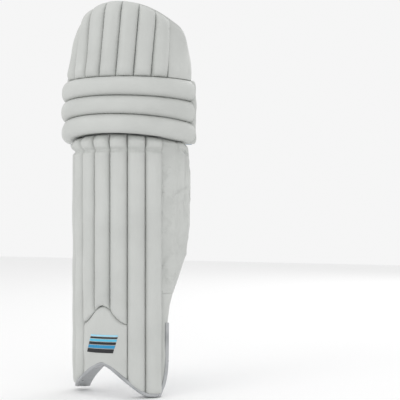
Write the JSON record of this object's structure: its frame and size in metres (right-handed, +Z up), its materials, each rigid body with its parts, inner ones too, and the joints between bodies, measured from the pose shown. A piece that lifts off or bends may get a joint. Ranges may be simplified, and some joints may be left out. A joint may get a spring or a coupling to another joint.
{
  "type": "cricket leg pad",
  "caption": "White ribbed leg guard with knee rolls, a curved top flap, a flared side wing, a padded back and striped hook-and-loop straps.",
  "frame": {"origin": "under the middle of the pad, level with the tips of its two bottom lobes", "axes": "+Z up the shin, -Y the struck front face, +Y the leg side, +X the wing side"},
  "size_m": [0.2675, 0.1389, 0.71],
  "materials": {
    "facing": "satin white grained leather-look facing over foam",
    "binding": "satin pale grey binding",
    "lining": "matte white lining over foam",
    "mesh": "matte spacer mesh with a grey dot pattern",
    "foam": "matte dense foam",
    "cane": "matte cane",
    "webbing": "matte black and blue striped webbing",
    "hook_and_loop": "matte black hook and loop pile",
    "badge": "satin moulded badge"
  },
  "bodies": {
    "shin": {"ankle_bolster_inner_side": "lining", "ankle_bolster_wing_side": "lining", "ankle_loop_patch": "hook_and_loop", "ankle_strap_anchor": "webbing", "bolster_band_inner_side": "lining", "bolster_band_wing_side": "lining", "bottom_binding": "binding", "calf_strap_anchor": "webbing", "centre_bolster": "lining", "front_badge": "badge", "inner_edge_piping": "binding", "instep_guard": "facing", "instep_lining": "lining", "knee_backing_board": "foam", "knee_lining": "lining", "knee_locator_badge": "badge", "knee_locator_pad": "lining", "knee_loop_patch": "hook_and_loop", "knee_roll_cores": "foam", "knee_roll_lower": "facing", "knee_roll_middle": "facing", "knee_roll_upper": "facing", "knee_strap_anchor": "webbing", "lower_side_strip": "facing", "lower_strip_lining": "lining", "mesh_bolster_inner_side": "mesh", "mesh_bolster_wing_side": "mesh", "shin_canes": "cane", "shin_channel_1": "facing", "shin_channel_2": "facing", "shin_channel_3": "facing", "shin_channel_4": "facing", "shin_channel_5": "facing", "shin_channel_6": "facing", "shin_channel_7": "facing", "shin_liner_board": "foam", "shin_lining": "lining"},
    "wing": {"side_wing": "facing", "wing_lining": "lining", "calf_loop_patch": "hook_and_loop"},
    "top_flap": {"top_flap_channel_1": "facing", "top_flap_channel_2": "facing", "top_flap_channel_3": "facing", "top_flap_channel_4": "facing", "top_flap_channel_5": "facing", "top_flap_channel_6": "facing", "top_flap_channel_7": "facing", "top_flap_foam_sheet": "foam", "top_flap_lining": "lining", "top_flap_side_inner": "facing", "top_flap_side_wing": "facing"},
    "knee_strap": {"knee_strap": "webbing", "knee_strap_hook_patch": "hook_and_loop"},
    "calf_strap": {"calf_strap": "webbing", "calf_strap_hook_patch": "hook_and_loop"},
    "ankle_strap": {"ankle_strap": "webbing", "ankle_strap_hook_patch": "hook_and_loop"}
  },
  "joints": [
    {"name": "knee_strap_swing", "type": "hinge", "parent": "shin", "child": "knee_strap", "pos_m": [-0.11311, 0.05278, 0.473], "axis": [0, 0, 1], "range_deg": [0, 110]},
    {"name": "calf_strap_swing", "type": "hinge", "parent": "shin", "child": "calf_strap", "pos_m": [-0.09823, 0.04186, 0.3425], "axis": [0, 0, 1], "range_deg": [0, 110]},
    {"name": "ankle_strap_swing", "type": "hinge", "parent": "shin", "child": "ankle_strap", "pos_m": [-0.09817, 0.04187, 0.146], "axis": [0, 0, 1], "range_deg": [0, 110]},
    {"name": "top_flap_bend", "type": "hinge", "parent": "shin", "child": "top_flap", "pos_m": [0, 0.0054, 0.5755], "axis": [-1, 0, 0], "range_deg": [0, 15], "stiffness_Nm_per_rad": 2},
    {"name": "wing_flex", "type": "hinge", "parent": "shin", "child": "wing", "pos_m": [0.08443, 0.0052, 0.32], "axis": [0, 0, -1], "range_deg": [0, 20], "stiffness_Nm_per_rad": 0.6}
  ]
}
